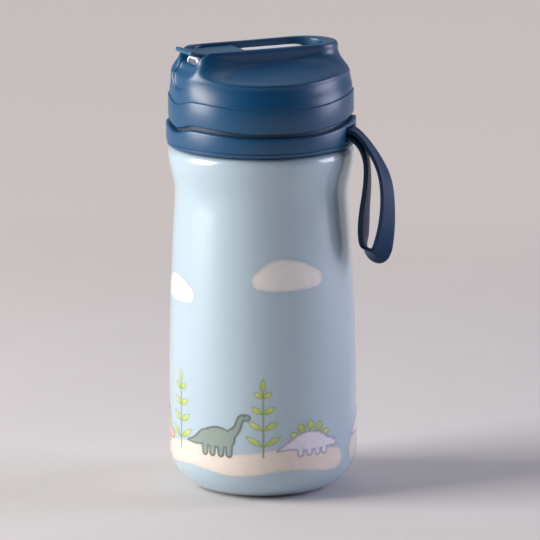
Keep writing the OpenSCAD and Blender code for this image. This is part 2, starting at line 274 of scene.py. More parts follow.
def moulded_plastic(name, colour, lighter, roughness):
    """Satin plastic: a slight mottle in the colour, and a fine spark-eroded grain."""
    mat, tree, shader = material(name)
    tint(tree, shader, noise(tree, 60.0, 3.0), colour, lighter)
    fine = noise(tree, 2600.0)
    vary_roughness(tree, shader, fine, roughness - 0.04, roughness + 0.05)
    shader.inputs["Specular IOR Level"].default_value = 0.6
    bump(tree, shader, fine, 0.35)
    return mat


def silicone(name, colour, shade, roughness, subsurface, sheen=0.12, specular=0.5):
    """Soft silicone: a velvety surface with faint dust and a little light inside."""
    mat, tree, shader = material(name)
    tint(tree, shader, noise(tree, 90.0, 4.0), colour, shade, 0.35, 0.7)
    fine = noise(tree, 1800.0)
    vary_roughness(tree, shader, fine, roughness - 0.05, roughness + 0.07)
    shader.inputs["Subsurface Weight"].default_value = subsurface
    shader.inputs["Subsurface Radius"].default_value = (0.004, 0.004, 0.005)
    shader.inputs["Subsurface Scale"].default_value = 0.5
    shader.inputs["Sheen Weight"].default_value = sheen
    shader.inputs["Specular IOR Level"].default_value = specular
    bump(tree, shader, fine, 0.3)
    return mat


def brushed_steel(name, colour, roughness, circular):
    """Stainless steel with brushing marks round the axis, on a wall or, circular, on a disc."""
    mat, tree, shader = material(name)
    stretch = add(tree, "ShaderNodeMapping")
    stretch.inputs["Scale"].default_value = (1, 1, 1) if circular else (1, 1, 60)
    tree.links.new(object_coords(tree), stretch.inputs["Vector"])
    source = stretch.outputs["Vector"]
    if circular:
        length = add(tree, "ShaderNodeVectorMath", operation="LENGTH")
        tree.links.new(source, length.inputs[0])
        source = length.outputs["Value"]
    lines = noise(tree, 2400.0 if circular else 60.0, 3.0, vector=source)
    tint(tree, shader, lines, colour, tuple(0.86 * c for c in colour))
    vary_roughness(tree, shader, lines, roughness - 0.06, roughness + 0.08)
    shader.inputs["Metallic"].default_value = 1.0
    bump(tree, shader, lines, 0.25)
    return mat


PAINT = (0.42, 0.555, 0.645)
PAINT_SHADE = (0.41, 0.545, 0.635)


def paint_material(name, printed=False):
    """Pale blue gloss paint under a clear coat, with the picture in the mesh's colours over it."""
    mat, tree, shader = material(name)
    drift = ramp(tree, noise(tree, 14.0), 0, 1, 0.35, 0.65)
    colour = blend_colours(tree, drift, PAINT, PAINT_SHADE)
    if printed:
        ink = add(tree, "ShaderNodeAttribute", attribute_name="ink")
        colour = blend_colours(tree, ink.outputs["Alpha"], colour, ink.outputs["Color"])
    tree.links.new(colour, shader.inputs["Base Color"])
    shader.inputs["Roughness"].default_value = 0.30
    shader.inputs["Coat Weight"].default_value = 1.0
    shader.inputs["Coat Roughness"].default_value = 0.045
    shader.inputs["Coat IOR"].default_value = 1.5
    orange_peel = noise(tree, 420.0)
    bump(tree, shader, orange_peel, 0.06, 0.00004)
    return mat


LID_BLUE, LID_BLUE_LIGHT = (0.0005, 0.060, 0.155), (0.001, 0.068, 0.172)
LEVER_BLUE, LEVER_BLUE_LIGHT = (0.003, 0.080, 0.175), (0.004, 0.090, 0.195)
# The core's blue is darker than the lid's: painted shade for the groove and the slot, where the
# core shows
CORE_SHADED_BLUE, CORE_SHADED_BLUE_LIGHT = (0.001, 0.028, 0.080), (0.002, 0.033, 0.090)
FROST, FROST_LIGHT = (0.78, 0.80, 0.82), (0.84, 0.86, 0.87)
GETTER_GREY, GETTER_GREY_LIGHT = (0.05, 0.05, 0.055), (0.07, 0.07, 0.075)
MILKY, MILKY_SHADE = (0.68, 0.72, 0.82), (0.72, 0.76, 0.85)
SEAL, SEAL_SHADE = (0.74, 0.76, 0.77), (0.80, 0.81, 0.82)
STRAP_BLUE, STRAP_SHADE = (0.001, 0.030, 0.090), (0.002, 0.036, 0.102)

MATERIALS = {
    "paint": paint_material("pale_blue_paint"),
    "print": paint_material("printed_paint", printed=True),
    "lid": moulded_plastic("lid_blue_plastic", LID_BLUE, LID_BLUE_LIGHT, 0.33),
    "lever": moulded_plastic("lever_blue_plastic", LEVER_BLUE, LEVER_BLUE_LIGHT, 0.33),
    # Painted shade: the core's darker blue stands in for the shade in the groove and the slot
    "core": moulded_plastic("core_plastic_painted_shade", CORE_SHADED_BLUE, CORE_SHADED_BLUE_LIGHT, 0.45),
    "straw": moulded_plastic("frosted_straw_plastic", FROST, FROST_LIGHT, 0.28),
    "getter": moulded_plastic("getter_grey", GETTER_GREY, GETTER_GREY_LIGHT, 0.7),
    "spout": silicone("milky_spout_silicone", MILKY, MILKY_SHADE, 0.42, 0.25),
    "clear": silicone("clear_seal_silicone", SEAL, SEAL_SHADE, 0.35, 0.3),
    "strap": silicone("strap_blue_silicone", STRAP_BLUE, STRAP_SHADE, 0.42, 0.02, 0.0, 0.3),
    "steel": brushed_steel("brushed_steel", (0.62, 0.62, 0.63), 0.26, False),
    "base": brushed_steel("base_steel", (0.60, 0.60, 0.61), 0.30, True),
}


def dress(obj, name):
    """Gives an object one material."""
    obj.data.materials.clear()
    obj.data.materials.append(MATERIALS[name])


def stand_in(obj, node, body, look, crisp):
    """The piece replaces a CAD node, rides on its body and takes its finish from a slot."""
    sharpen(obj, crisp)
    dress(obj, look)
    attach(obj, body)
    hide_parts(node)


# ---- Painted shell ----

def taper_r(z):
    return BODY_R - (BODY_R - WAIST_R) * ((z - TAPER_Z) / (WAIST_Z - TAPER_Z)) ** TAPER_POWER


def flare_r(z):
    top = SHOULDER_Z - SHOULDER_ROUND
    return WAIST_R + (SHOULDER_R - WAIST_R) * float(ease((z - FLARE_Z) / (top - FLARE_Z)))


def shell_line():
    """The shell's outline from the base plate's edge up to the neck, as (radius, height)."""
    top = SHOULDER_Z - SHOULDER_ROUND
    line = [(PLATE_EDGE_R, 0.0)]
    line += arc((BODY_R - CORNER_R, CORNER_R), CORNER_R, -90, 0, 24)
    line += [(BODY_R, z) for z in np.linspace(CORNER_R, TAPER_Z, 9)[1:-1]]
    line += [(taper_r(z), z) for z in np.linspace(TAPER_Z, WAIST_Z, 41)]
    line += [(flare_r(z), z) for z in np.linspace(FLARE_Z, top, 25)]
    line += arc((SHOULDER_R - SHOULDER_ROUND, top), SHOULDER_ROUND, 8, 90, 12)
    return line + [(NECK_R, SHOULDER_Z)]


def body_radius(z):
    """The shell's outside radius at a height, for arrays of heights."""
    line = shell_line()[1:]
    heights = np.array([p[1] for p in line])
    radii = np.array([p[0] for p in line])
    order = np.argsort(heights, kind="stable")
    return np.interp(z, heights[order], radii[order])


def build_shell():
    line = shell_line()
    wall = 0.8
    inside = [(r - wall if r > NECK_R else r, z + (wall if z < 1 else 0)) for r, z in line[1:-1]]
    inside = [(max(r, PLATE_EDGE_R), min(z, SHOULDER_Z - wall)) for r, z in inside]
    outline = line + [(NECK_R, SHOULDER_Z - wall)] + inside[::-1] + [(PLATE_EDGE_R, wall)]
    shell = revolve("painted_shell", lambda _: outline, 256)
    stand_in(shell, "outer_shell", "bottle", "paint", 50)


# ---- Lid: collar, band and dome ----

def fold(a):
    b = np.mod(a, 180.0)
    return np.minimum(b, 180.0 - b)


def wave(a):
    """Rise of the lid's edges at angle a in degrees: a dip between two crests, front and back."""
    f = fold(a)
    behind = np.cos(np.radians(a)) > 0
    at, end, high = (np.where(behind, b, c) for b, c in zip(BACK_CREST, FRONT_CREST))
    rising = -DIP_H + (high + DIP_H) * ease(f / at)
    return np.where(f < at, rising, high * (1 - ease((f - at) / (end - at))))


def collar_section(a):
    top = GROOVE_Z - GROOVE_H / 2 + float(wave(a))
    lip = COLLAR_Z + LIP_H
    return ([(RING_R, COLLAR_Z + 0.8), (RING_R + 1.2, COLLAR_Z)]
            + arc((COLLAR_R - 0.35 - 0.5, COLLAR_Z + 0.5), 0.5, -90, 0, 4)
            + [(COLLAR_R - 0.35, lip - 0.3), (COLLAR_R - 0.55, lip - 0.05),
               (COLLAR_R - 0.5, lip + 0.12)]
            + arc((COLLAR_R - 0.4, lip + 0.55), 0.4, -60, 0, 3)
            + [(COLLAR_R, (lip + top) / 2)]
            + arc((COLLAR_R - 0.8, top - 0.8), 0.8, 0, 90, 5)
            + [(RING_R + 0.3, top), (RING_R, top - 0.3)])


def band_section(a):
    low = GROOVE_Z + GROOVE_H / 2 + float(wave(a))
    top = SEAM_Z + float(wave(a))
    return ([(RING_R, low)] + arc((BAND_R - 0.6, low + 0.6), 0.6, -90, 0, 5)
            + [(BAND_R, (low + top) / 2)]
            + arc((BAND_R - 0.3, top - 0.3), 0.3, 0, 90, 3) + [(RING_R, top)])


def cut_slot(collar):
    """Opens the collar where the strap comes out, with a soft edge."""
    bm = bmesh.new()
    bmesh.ops.create_cube(bm, size=1)
    cutter_mesh = bpy.data.meshes.new("strap_slot_cutter")
    bm.to_mesh(cutter_mesh)
    bm.free()
    cutter = new_object("strap_slot_cutter", cutter_mesh)
    cutter.scale = [side * MM for side in STRAP_SLOT]
    cutter.location = (STRAP_SLOT_R * MM * math.cos(STRAP_ANGLE),
                       STRAP_SLOT_R * MM * math.sin(STRAP_ANGLE), STRAP_SLOT_Z * MM)
    cutter.rotation_euler = (0, 0, STRAP_ANGLE)
    cutter.modifiers.new("round", "BEVEL").width = 1.2 * MM
    cutter.modifiers["round"].segments = 4
    bpy.context.view_layer.update()
    opening = collar.modifiers.new("slot", "BOOLEAN")
    opening.object = cutter
    opening.solver = "EXACT"
    apply_modifiers(collar)
    bpy.data.objects.remove(cutter)


def apply_modifiers(obj):
    """Replaces an object's mesh with its modified shape."""
    bpy.context.view_layer.update()
    shaped = obj.evaluated_get(bpy.context.evaluated_depsgraph_get())
    mesh = bpy.data.meshes.new_from_object(shaped)
    obj.modifiers.clear()
    obj.data = mesh


def build_collar():
    collar = revolve("lid_collar_ring", collar_section, 360)
    cut_slot(collar)
    stand_in(collar, "lid_collar", "lid", "lid", 35)


def build_band():
    band = revolve("lid_band_ring", band_section, 360)
    stand_in(band, "lid_band", "lid", "lid", 50)


def oval_reach(a, half_l, half_w, centre=0.0):
    """Distance from the axis to a long oval's edge in direction a, in radians."""
    c = half_l - half_w
    s, k = np.sin(a), np.cos(a)
    side = half_w / np.maximum(np.abs(s), 1e-6)
    reach = side.copy()
    for end in (centre - c, centre + c):
        inside = half_w ** 2 - (end * s) ** 2
        cap = end * k + np.sqrt(np.maximum(inside, 0))
        beyond = (side * k > centre + c) if end > centre else (side * k < centre - c)
        reach = np.where(beyond, cap, reach)
    return reach


def ridge_reach(a):
    """The ridge's outline: a long oval with a blunter, squarer front."""
    blunt = ((np.abs(np.cos(a)) / RIDGE_L) ** 5 + (np.abs(np.sin(a)) / RIDGE_W) ** 5) ** -0.2
    return np.where(np.cos(a) > 0, oval_reach(a, RIDGE_L, RIDGE_W), blunt)


def dome_shares(a):
    """How much a direction, in degrees from +X, belongs to the front and to the back."""
    front = 1 - ease((np.abs(180 - np.abs(a)) - 16) / 24)
    back = 1 - ease((np.abs(a) - 20) / 40)
    return front, back


def draw_in(t, a):
    """How far the dome has drawn in from the round drum to the ridge at part t of its height."""
    front, back = dome_shares(a)
    mid = 0.60 + 0.15 * front + 0.015 * back
    span = 0.34 + 0.26 * front + 0.16 * back
    return 0.12 * ease(t / 0.4) + 0.88 * ease((t - mid) / span + 0.5)


def rim_dip(a):
    """How far the rim drops under the thumb tab, at angle a in degrees."""
    return (RIDGE_Z - NOTCH_Z) * (1 - ease((np.abs(180 - np.abs(a)) - 10) / 13))


def dome_angles():
    """Directions round the dome in degrees, closer together at the front."""
    side = np.linspace(-150, 150, 181)
    front = np.linspace(150, 210, 121)[1:-1]
    return np.concatenate([side, np.where(front > 180, front - 360, front)])


def scoop_depth(y, z):
    """Depth of the U-shaped finger scoop on the dome's front."""
    centre_z, r = 165.9, 7.2
    below = np.hypot(y, np.minimum(z - centre_z, 0))
    return 1.2 * ease((r - below) / 0.8) * ease((z - 156.8) / 1.5)


def build_dome():
    angles = dome_angles()
    rad = np.radians(angles)
    low = SEAM_Z + wave(angles)
    outer_oval = ridge_reach(rad)
    half_l = (SLOT_BACK_X - SLOT_FRONT_X) / 2
    inner_oval = oval_reach(rad, half_l, SLOT_W, (SLOT_BACK_X + SLOT_FRONT_X) / 2)
    # The slot's front end is squarer, to hold the spout's nose
    square_end = np.minimum(-SLOT_FRONT_X / np.maximum(-np.cos(rad), 1e-6),
                            NOSE_ROOM / np.maximum(np.abs(np.sin(rad)), 1e-6))
    inner_oval = np.where(np.cos(rad) < 0, np.maximum(inner_oval, square_end), inner_oval)
    # The rim's rounding takes less where the wall is thin
    room = np.clip((outer_oval - inner_oval) / 2.5, 0.2, 1)
    rim_start, rim_round, slot_round = 0.92, 1.3 * room, 0.9 * room
    top = RIDGE_Z - rim_dip(angles)
    rings = []

    def ring(reach, z):
        return list(zip(reach * np.cos(rad), reach * np.sin(rad), np.broadcast_to(z, reach.shape)))

    spigot = np.full(len(angles), 34.3)
    rings.append(ring(spigot, CORE_TOP_Z + 0.05))
    rings.append(ring(spigot, low - 0.25))
    rings.append(ring(np.full(len(angles), DOME_R - 0.25), low - 0.25))
    rounding = np.sin(np.radians(np.linspace(12, 90, 8)))
    for t in np.append(np.linspace(0, rim_start, 44), rim_start + (1 - rim_start) * rounding):
        over = max(0.0, (t - rim_start) / (1 - rim_start))
        inset = rim_round * (1 - math.sqrt(max(0, 1 - over ** 2)))
        z = low + t * (RIDGE_Z - low)
        # The rim follows its dip, and what lies under it is pressed down with it
        z = z - rim_dip(angles) * ease((t - 0.35) / 0.65)
        reach = DOME_R + (outer_oval - DOME_R) * draw_in(t, angles) - inset
        y = reach * np.sin(rad)
        is_front = np.abs(180 - np.abs(angles)) < 40
        reach = reach - np.where(is_front, scoop_depth(y, z), 0)
        rings.append(ring(reach, z))
    for turn in np.radians(np.linspace(90, 0, 7)):
        rings.append(ring(inner_oval + slot_round * (1 - math.cos(turn)),
                          top - slot_round * (1 - math.sin(turn))))
    for part in (0.3, 0.6, 0.9):
        rings.append(ring(inner_oval, top + (SLOT_FLOOR_Z + 0.6 - top) * part))
    for turn in np.radians(np.linspace(0, 90, 4)):
        rings.append(ring(inner_oval - 0.6 * math.sin(turn),
                SLOT_FLOOR_Z + 0.6 * (1 - math.sin(turn))))
    dome = loft("lid_dome_shell", rings)
    stand_in(dome, "lid_dome", "lid", "lid", 55)


# ---- Lever, spout and strap ----

def stadium(half_w, half_t, steps=8):
    """A long oval section as (across, up) points, flat on both faces and round at both edges."""
    c = half_w - half_t
    right = [(c + half_t * math.cos(a), half_t * math.sin(a))
             for a in np.radians(np.linspace(-90, 90, steps + 1))]
    top = [(c - 2 * c * k / 6, half_t) for k in range(1, 6)]
    left = [(-c - half_t * math.cos(a), half_t * math.sin(a))
            for a in np.radians(np.linspace(90, -90, steps + 1))]
    return right + top + left + [(-y, -z) for y, z in top]


def tab_lift(x):
    """Height of the tab's underside over the flat plate: it sags a little, then curls up."""
    u = min(1.0, max(0.0, (x - TAB_START_X) / (TAB_TIP_X - TAB_START_X)))
    return 0.9 * u * u - 0.4 * math.sin(math.pi * u)


def plate_half_width(x):
    """Half of the lever plate's width: wide in the slot, narrow at the tab, rounded at its tip."""
    shoulder_x = -17.5
    if x > shoulder_x:
        return PLATE_W
    width = math.sqrt(max(0.0, PLATE_W ** 2 - (x - shoulder_x) ** 2))
    if width > TAB_W:
        return width
    t = min(1.0, max(0.0, (TAB_TIP_X + TAB_CORNER_R - x) / TAB_CORNER_R))
    return TAB_W - TAB_CORNER_R * (1 - math.sqrt(1 - t * t))


def plate_rings():
    """Sections of the plate from its rear edge to the tab's tip."""
    tip = TAB_TIP_X + TAB_CORNER_R * (1 - np.sin(np.radians(np.linspace(0, 90, 12))))
    places = np.concatenate([[PLATE_REAR_X, PLATE_REAR_X - 0.12, PLATE_REAR_X - 0.4],
            np.linspace(PLATE_REAR_X - 1, TAB_TIP_X + TAB_CORNER_R, 46)[:-1], tip])
    rings = []
    for x in places:
        u = max(0.0, (x - TAB_START_X) / (TAB_TIP_X - TAB_START_X))
        half_t = (PLATE_T + TAB_EXTRA_T * u) / 2
        middle = PLATE_Z + tab_lift(x) + half_t
        half_w = plate_half_width(x)
        # Both ends of the plate are rounded over, like its sides
        from_end = min(PLATE_REAR_X - x, x - TAB_TIP_X)
        half_t *= math.sqrt(max(0.02, 1 - max(0.0, 1 - from_end / half_t) ** 2))
        dish = 0.3 * float(ease((PLATE_REAR_X - x) / 8)) * float(ease((x - TAB_TIP_X) / 6))
        rings.append([(x, y, middle + z - dish * (1 - (y / half_w) ** 2))
                      for y, z in stadium(max(half_w, half_t + 0.01), half_t)])
    return rings


def arm_outline():
    """Side view of one lever arm, as (x, z): from under the plate back to the hinge pin."""
    eye_r = 3.2
    front = [(-21.5, PLATE_Z + 0.5), (PLATE_REAR_X - 1, PLATE_Z + 0.5), (-3, 169.4)]
    front += arc((PIVOT_X, PIVOT_Z), eye_r, 90, -90, 14)
    return front + [(-10, 163.4), (-17.5, 163.4), (-21.5, 167)]


def prism(name, outline, y0, y1):
    """A flat plate cut to an outline in the XZ plane, between two places on Y."""
    n = len(outline)
    points = [(x, y, z) for y in (y0, y1) for x, z in outline]
    faces = [tuple(range(n)), tuple(range(2 * n - 1, n - 1, -1))]
    faces += [(i, (i + 1) % n, n + (i + 1) % n, n + i) for i in range(n)]
    return mesh_object(name, points, faces)


def join_solids(main, others):
    """Fuses solids into one and removes the others."""
    for other in others:
        union = main.modifiers.new("join", "BOOLEAN")
        union.operation = "UNION"
        union.solver = "EXACT"
        union.object = other
        apply_modifiers(main)
        bpy.data.objects.remove(other)


def round_edges(obj, width, segments=3, angle=35):
    bevel = obj.modifiers.new("round", "BEVEL")
    bevel.width = width * MM
    bevel.segments = segments
    bevel.limit_method = "ANGLE"
    bevel.angle_limit = math.radians(angle)
    apply_modifiers(obj)


def build_lever():
    lever = loft("lever_plate_and_arms", plate_rings())
    parts = []
    for low in (-ARM_OUT, ARM_IN):
        arm = prism("arm", arm_outline(), low, low + ARM_OUT - ARM_IN)
        round_edges(arm, 0.3)
        parts.append(arm)
    bridge = prism("bridge", [(-17.4, 163.15), (-12.4, 163.15), (-12.4, 164.0), (-17.4, 164.0)],
                   -ARM_OUT + 0.2, ARM_OUT - 0.2)
    join_solids(lever, parts + [bridge])
    stand_in(lever, "flip_lever", "lever", "lever", 38)


def spout_stations():
    """Places from the spout's mouth to its foot: (x, z, lean in degrees, width, height)."""
    stations = []
    for inset, step in ((1.5, 0), (0.75, 0.12), (0.28, 0.4), (0, 0.95)):
        stations.append((SPOUT_TIP_X + step, SPOUT_Z - NOSE_DROP, 0, NOSE_W - inset,
                NOSE_T - inset))
    for x in np.linspace(SPOUT_TIP_X + 1.6, NOSE_X - 1.5, 14):
        stations.append((x, SPOUT_Z - NOSE_DROP, 0, NOSE_W, NOSE_T))
    for x in np.linspace(NOSE_X - 1.2, NOSE_X + 1.2, 7):
        grown = float(ease((x - NOSE_X + 1.2) / 2.4))
        stations.append((x, SPOUT_Z - NOSE_DROP * (1 - grown), 0,
                         NOSE_W + (SPOUT_W - NOSE_W) * grown, NOSE_T + (SPOUT_T - NOSE_T) * grown))
    for x in np.linspace(NOSE_X + 2.4, BEND_X, 20):
        stations.append((x, SPOUT_Z, 0, SPOUT_W, SPOUT_T))
    for lean in np.linspace(0, 90, 19)[1:]:
        a = math.radians(lean)
        stations.append((BEND_X + BEND_R * math.sin(a), SPOUT_Z - BEND_R * (1 - math.cos(a)), lean,
                         SPOUT_W, SPOUT_T))
    for z in np.linspace(SPOUT_Z - BEND_R, CORE_TOP_Z + 2.2, 9)[1:]:
        stations.append((BEND_X + BEND_R, z, 90, SPOUT_W, SPOUT_T))
    return stations


def build_spout():
    """The silicone spout: one soft tube from its mouth round the bend down to its foot."""
    foot_r = 8.0
    outer, inner = [], []
    for x, z, lean, width, height in spout_stations():
        s, c = math.sin(math.radians(lean)), math.cos(math.radians(lean))
        section = stadium(width / 2, height / 2)
        # The bend's outer side is fuller than a plain arc
        full = 1 / (s ** 4 + c ** 4) ** 0.25
        heel = 1 + (full - 1) * (BEND_R + height / 2) / (height / 2)
        section = [(across, up * heel if up > 0 else up) for across, up in section]
        outer.append([(x + up * s, across, z + up * c) for across, up in section])
        # The mouth is a wide oval that narrows to the round bore
        mouth = 1 - float(ease((x - SPOUT_TIP_X) / 3.5)) if lean == 0 else 0.0
        oval = stadium(4.3, 2.2)
        bore = [Vector((across, up)).normalized() * SPOUT_BORE_R for across, up in section]
        throat = [(y * mouth + p[0] * (1 - mouth), up * mouth + p[1] * (1 - mouth))
                  for (y, up), p in zip(oval, bore)]
        inner.append([(x + p[1] * s, p[0], z + p[1] * c) for p in throat])
    last = stadium(SPOUT_W / 2, SPOUT_T / 2)
    flat = [Vector((across, up)).normalized() for across, up in last]
    root_x = BEND_X + BEND_R
    for r, z in ((foot_r - 0.3, CORE_TOP_Z + 1.6), (foot_r, CORE_TOP_Z + 1.3),
            (foot_r, CORE_TOP_Z)):
        outer.append([(root_x + p[1] * r, p[0] * r, z) for p in flat])
    inner.append([(root_x + p[1] * SPOUT_BORE_R, p[0] * SPOUT_BORE_R, CORE_TOP_Z) for p in flat])
    rings = outer + inner[::-1]
    rings.append(rings[0])
    spout = loft("silicone_spout", rings, caps=False)
    weld(spout)
    sharpen(spout, 50)
    dress(spout, "spout")
    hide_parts("spout_neck", "spout_tube")
    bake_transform(spout)


# The strap's middle line as (distance from the axis, height, twist in degrees): from the slot
# down the outer strand, round the fold, up the inner strand and round the anchor pin
STRAP_ROUTE = [
    (36.2, 142.8, 0), (38.8, 141.7, -6), (41.3, 139.6, -8), (43.6, 137.0, -8), (46.2, 133.3, -6),
    (48.4, 129.4, -3), (50.0, 125.4, 2), (51.0, 120.8, 7), (51.4, 115.5, 11), (51.3, 110.0, 16),
    (50.8, 104.5, 23), (49.9, 99.5, 31), (48.9, 95.9, 38), (47.3, 93.7, 42), (45.0, 94.2, 38),
    (43.0, 95.8, 26), (41.9, 97.8, 10), (41.8, 101.0, 0), (41.9, 106.0, -3), (42.3, 112.0, 0),
    (43.0, 118.0, 4), (43.4, 124.0, 8), (43.2, 130.0, 11), (42.1, 134.4, 10), (40.4, 137.5, 6),
    (38.4, 139.4, 2), (36.4, 140.0, 0), (34.5, 139.8, 0), (33.3, 141.4, 0), (34.4, 143.1, 0),
]


def through(p, q, r, s, t):
    """A smooth curve from q to r, with p before it and s after it."""
    p, q, r, s = (np.asarray(v, float) for v in (p, q, r, s))
    return 0.5 * (2 * q + (r - p) * t + (2 * p - 5 * q + 4 * r - s) * t ** 2
                  + (3 * q - p - 3 * r + s) * t ** 3)


def smooth_loop(points, steps):
    n = len(points)
    around = list(points[-1:]) + list(points) + list(points[:2])
    return np.array([through(*around[i:i + 4], k / steps) for i in range(n) for k in range(steps)])


def ribbon_section():
    """The ribbon's section as (across, out): soft edges, and a faintly hollow outer face."""
    cup = 0.28
    return [(y, z + cup * (y / (STRAP_W / 2)) ** 2 - cup / 2)
            for y, z in stadium(STRAP_W / 2, STRAP_T / 2, 6)]


def build_strap():
    line = smooth_loop(STRAP_ROUTE, 6)
    path, twist = line[:, :2], np.radians(line[:, 2])
    heading = np.roll(path, -1, axis=0) - np.roll(path, 1, axis=0)
    heading /= np.linalg.norm(heading, axis=1)[:, None]
    radial = np.array([math.cos(STRAP_ANGLE), math.sin(STRAP_ANGLE), 0])
    sideways = np.array([-math.sin(STRAP_ANGLE), math.cos(STRAP_ANGLE), 0])
    up = np.array([0, 0, 1])
    rings = []
    for (d, z), (along_r, along_z), phi in zip(path, heading, twist):
        outward = -along_z * radial + along_r * up
        across = math.cos(phi) * sideways + math.sin(phi) * outward
        out = math.cos(phi) * outward - math.sin(phi) * sideways
        centre = d * radial + z * up
        rings.append([centre + across * y + out * n for y, n in ribbon_section()])
    rings.append(rings[0])
    strap = loft("carry_strap_ribbon", rings, caps=False)
    weld(strap)
    stand_in(strap, "carry_strap", "strap", "strap", 60)


# ---- The printed picture ----
# It is painted in millimetres on a strip unrolled from the shell: u runs round the bottle,
# with 0 at the side that the camera looks at, and z runs up. Colours are sRGB, 0 to 255.

PRINT_R = 36.4
PRINT_START = math.radians(-90 + VIEW_AZIMUTH)
CELL = 0.3
PRINT_LIFT = 0.05
FAR = 99.0
EDGE_W = 0.32


def linear(colour):
    c = np.asarray(colour, float) / 255
    return np.where(c <= 0.04045, c / 12.92, ((c + 0.055) / 1.055) ** 2.4)


def soft_noise(shape, cells, seed):
    """Smooth seeded noise from -1 to 1, in blobs of this many cells."""
    rows, columns = shape[0] // cells + 2, shape[1] // cells + 2
    grid = np.random.RandomState(seed).uniform(-1, 1, (rows, columns))
    y, x = np.arange(shape[0]) / cells, np.arange(shape[1]) / cells
    j, i = y.astype(int), x.astype(int)
    v, w = ease(y - j)[:, None], ease(x - i)[None, :]
    top = grid[np.ix_(j, i)] * (1 - w) + grid[np.ix_(j, i + 1)] * w
    low = grid[np.ix_(j + 1, i)] * (1 - w) + grid[np.ix_(j + 1, i + 1)] * w
    return top * (1 - v) + low * v


class Picture:
    """Watercolour on a strip of the shell between two heights."""

    def __init__(self, u0, u1, z0, z1, seed):
        self.u, self.z = np.meshgrid(np.arange(u0, u1, CELL), np.arange(z0, z1, CELL))
        self.rgb = np.ones(self.u.shape + (3,))
        self.alpha = np.zeros(self.u.shape)
        shape = self.u.shape
        self.grain = (0.45 * soft_noise(shape, 9, seed) + 0.35 * soft_noise(shape, 4, seed + 1) +
                0.3 * soft_noise(shape, 2, seed + 2))
        self.blots = soft_noise(shape, 14, seed + 3)

    def lay(self, tone, cover):
        cover = cover[..., None]
        below = self.alpha[..., None] * (1 - cover)
        total = np.maximum(cover + below, 1e-6)
        self.rgb = (tone * cover + self.rgb * below) / total
        self.alpha = total[..., 0]

    def wash(self, d, colour, rim, rim_w, grain=0.10, to=None, sweep=None):
        """A tone inside signed distance d, darker at its rim, drifting to another on a sweep."""
        colour = linear(colour)
        if to is not None:
            colour = colour + (linear(to) - colour) * ease(sweep + 0.25 * self.blots)[..., None]
        depth = ease(-d / rim_w + 0.15 * self.grain)[..., None]
        tone = (linear(rim) + (colour - linear(rim)) * depth) * (1 + grain * self.grain[..., None])
        self.lay(tone, np.clip(0.5 - d / EDGE_W, 0, 1))

    def stroke(self, points, colour, strength=1.0):
        self.lay(linear(colour) * (1 + 0.1 * self.grain[..., None]),
                strength * np.clip(0.5 - self.limb(points) / 0.3, 0, 1))

    def to_segment(self, u0, z0, du, dz):
        """Distance to a segment, and the nearest point's place along it from 0 to 1."""
        t = np.clip(((self.u - u0) * du + (self.z - z0) * dz) / max(du * du + dz * dz, 1e-9), 0, 1)
        return np.hypot(self.u - u0 - t * du, self.z - z0 - t * dz), t

    def limb(self, points, steps=7):
        """Signed distance to a smooth row of discs, each (u, z, radius)."""
        row = smooth_line(points, steps)
        d = np.full(self.u.shape, FAR)
        for (u0, z0, r0), (u1, z1, r1) in zip(row[:-1], row[1:]):
            reach, t = self.to_segment(u0, z0, u1 - u0, z1 - z0)
            d = np.minimum(d, reach - r0 - t * (r1 - r0))
        return d


def smooth_line(points, steps):
    """A smooth open line through points, which are rows of equal length."""
    if len(points) < 3:
        return [np.asarray(p, float) for p in points]
    padded = [points[0], *points, points[-1]]
    row = [through(*padded[i:i + 4], k / steps) for i in range(len(points) - 1) for k in
            range(steps)]
    return row + [np.asarray(points[-1], float)]


def either(*distances):
    return np.minimum.reduce(distances)


def moved(points, u, z, scale, flip):
    """Points of a motif, placed on the strip."""
    sign = -scale if flip else scale
    return [(u + sign * p[0], z + scale * p[1], *(scale * r for r in p[2:])) for p in points]


LEAF_GREEN, LEAF_YELLOW, LEAF_DARK = (168, 196, 84), (214, 222, 120), (112, 142, 52)
CLOUD_WHITE, CLOUD_RIM = (232, 231, 228), (214, 214, 214)
MOUND_SAND, MOUND_RIM = (226, 216, 206), (206, 203, 200)
LILAC, SAGE, TAN = (
    ((226, 224, 236), (150, 146, 182)), ((140, 156, 148), (74, 92, 86)),
    ((214, 178, 150), (150, 100, 72)))
EYE_DARK = (50, 50, 56)


def leaf(art, base, tip, half_w):
    """One leaf from its base to its tip, with a midrib."""
    base, tip = np.array(base, float), np.array(tip, float)
    along = tip - base
    spine = [(*(base + along * t), max(0.05, half_w * math.sin(math.pi * t)))
             for t in np.linspace(0, 1, 7)]
    run = ((art.u - base[0]) * along[0] + (art.z - base[1]) * along[1]) / (along @ along)
    art.wash(art.limb(spine, 3), LEAF_GREEN, LEAF_DARK, 0.45 * half_w, to=LEAF_YELLOW, sweep=run)
    art.stroke([(p[0], p[1], 0.1) for p in spine[:-1]], LEAF_DARK, 0.5)


def sprig(art, u, foot_z, height):
    """An upright stem with even pairs of leaves, shorter towards its top."""
    pairs = 4
    art.stroke([(u, foot_z, 0.35), (u, foot_z + height, 0.25)], LEAF_DARK)
    for k in range(pairs):
        z = foot_z + height * (k + 0.6) / pairs
        reach = 7.0 - 1.2 * k
        for side in (-1, 1):
            leaf(art, (u, z), (u + side * reach, z + 0.6 * reach), 1.1)
    leaf(art, (u, foot_z + height - 1), (u, foot_z + height + 5), 1.1)


def cloud(art, u, z, size):
    """A plain round cloud."""
    puffs = [(-10, 0, 3.0), (-4, 1.6, 5.2), (3, 1.2, 4.6), (9, 0, 3.0)]
    art.wash(art.limb(moved(puffs, u, z, size, False)), CLOUD_WHITE, CLOUD_RIM, 1.6, grain=0.05)


